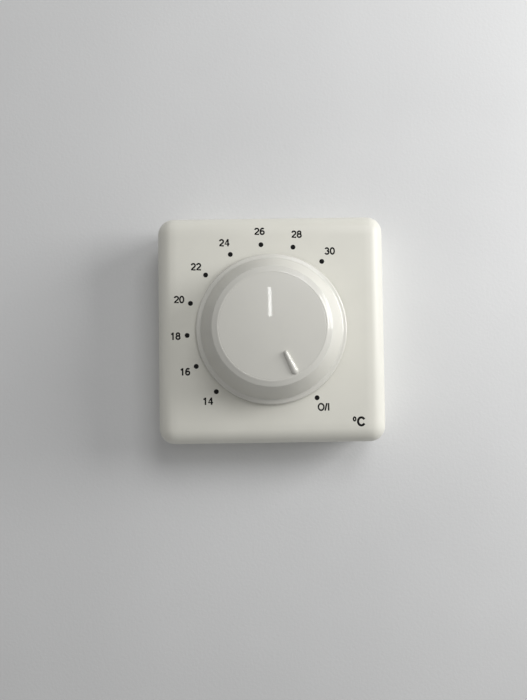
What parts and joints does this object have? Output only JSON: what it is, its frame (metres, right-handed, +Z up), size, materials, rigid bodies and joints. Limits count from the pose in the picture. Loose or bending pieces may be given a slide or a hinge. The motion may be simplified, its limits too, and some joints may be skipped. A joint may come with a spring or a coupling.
{
  "type": "wall thermostat",
  "caption": "Square surface-mounted room thermostat with a round setting knob, a 14 to 30 degree dial with an off position, and its relay circuit inside.",
  "frame": {"origin": "centre of the rear face, on the wall plane and on the knob's axis", "axes": "+Y into the wall, -Y out towards the user, +Z up with the 26 mark at the top, +X to the right seen from the front"},
  "size_m": [0.086, 0.0424, 0.086],
  "materials": {
    "cover_plastic": "satin off-white, fine spark texture",
    "base_plastic": "satin off-white",
    "knob_plastic": "polished off-white",
    "cam_plastic": "satin amber",
    "white_nylon": "satin natural nylon",
    "dark_plastic": "satin black",
    "red_plastic": "satin dark red",
    "green_plastic": "satin green",
    "relay_blue": "glossy blue",
    "yellow_plastic": "glossy yellow",
    "sleeve_blue": "shrunk dark sleeve",
    "epoxy_blue": "dipped epoxy",
    "epoxy_orange": "dipped epoxy bead",
    "dark_epoxy": "moulded epoxy",
    "resistor_tan": "lacquered ceramic",
    "board_laminate": "solder-masked glass epoxy",
    "phenolic": "phenolic sheet",
    "carbon_ink": "printed carbon",
    "zinc_steel": "zinc plated",
    "spring_steel": "bright spring steel",
    "soft_iron": "nickel-plated iron",
    "tinned_wire": "tinned",
    "contact_brass": "bright strip",
    "copper_wire": "enamelled copper winding"
  },
  "bodies": {
    "case": {"front_cover": "cover_plastic", "rear_base": "base_plastic", "cover_screw": "zinc_steel", "circuit_board": "board_laminate", "board_screws": "zinc_steel", "pot_housing": "dark_plastic", "pot_track_plate": "phenolic", "pot_track": "carbon_ink", "pot_terminals": "tinned_wire", "switch_case": "red_plastic", "switch_lid": "red_plastic", "switch_contacts": "contact_brass", "switch_terminals": "tinned_wire", "relay_base": "dark_plastic", "relay_case": "relay_blue", "relay_bobbin": "white_nylon", "relay_coil": "copper_wire", "relay_core": "soft_iron", "relay_yoke": "soft_iron", "relay_fixed_contacts": "contact_brass", "relay_pins": "tinned_wire", "terminal_housing": "green_plastic", "terminal_cages": "zinc_steel", "terminal_screws": "zinc_steel", "terminal_pins": "tinned_wire", "film_capacitor": "yellow_plastic", "electrolytic_capacitor": "sleeve_blue", "varistor": "epoxy_blue", "fuse": "dark_plastic", "diodes": "dark_epoxy", "resistors": "resistor_tan", "control_ic": "dark_epoxy", "transistor": "dark_epoxy", "temperature_sensor": "epoxy_orange"},
    "dial": {"knob": "knob_plastic", "knob_spring_clip": "spring_steel", "knob_shaft": "white_nylon", "switch_cam": "cam_plastic", "pot_rotor": "white_nylon", "pot_wiper": "contact_brass"},
    "lever": {"switch_lever": "spring_steel"},
    "plunger": {"switch_plunger": "white_nylon"},
    "blade": {"switch_blade": "contact_brass"},
    "armature": {"relay_armature": "soft_iron", "relay_return_spring": "contact_brass", "relay_moving_contact": "contact_brass"}
  },
  "joints": [
    {"name": "knob_turn", "type": "hinge", "parent": "case", "child": "dial", "pos_m": [0, 0, 0], "axis": [0, -1, 0], "range_deg": [-246, 7]},
    {"name": "switch_lever_tilt", "type": "hinge", "parent": "case", "child": "lever", "pos_m": [-0.0083, -0.0173, 0.0122], "axis": [0, 0, 1], "range_deg": [0, 5]},
    {"name": "plunger_press", "type": "slide", "parent": "case", "child": "plunger", "axis": [0, 1, 0], "range_m": [0, 0.00047], "stiffness_N_per_m": 0.1, "springref_m": -0.001},
    {"name": "blade_tilt", "type": "hinge", "parent": "case", "child": "blade", "pos_m": [-0.0073, -0.01132, 0.0122], "axis": [0, 0, 1], "range_deg": [0, 2.15]},
    {"name": "armature_tilt", "type": "hinge", "parent": "case", "child": "armature", "pos_m": [-0.0218, -0.0181, -0.01445], "axis": [0, 0, -1], "range_deg": [0, 3], "stiffness_Nm_per_rad": 0.0005, "springref_deg": -2.86}
  ],
  "couplings": [
    {"joint": "switch_lever_tilt", "follows": "plunger_press", "rad_per_m": 185.19},
    {"joint": "blade_tilt", "follows": "plunger_press", "rad_per_m": 77.778}
  ]
}
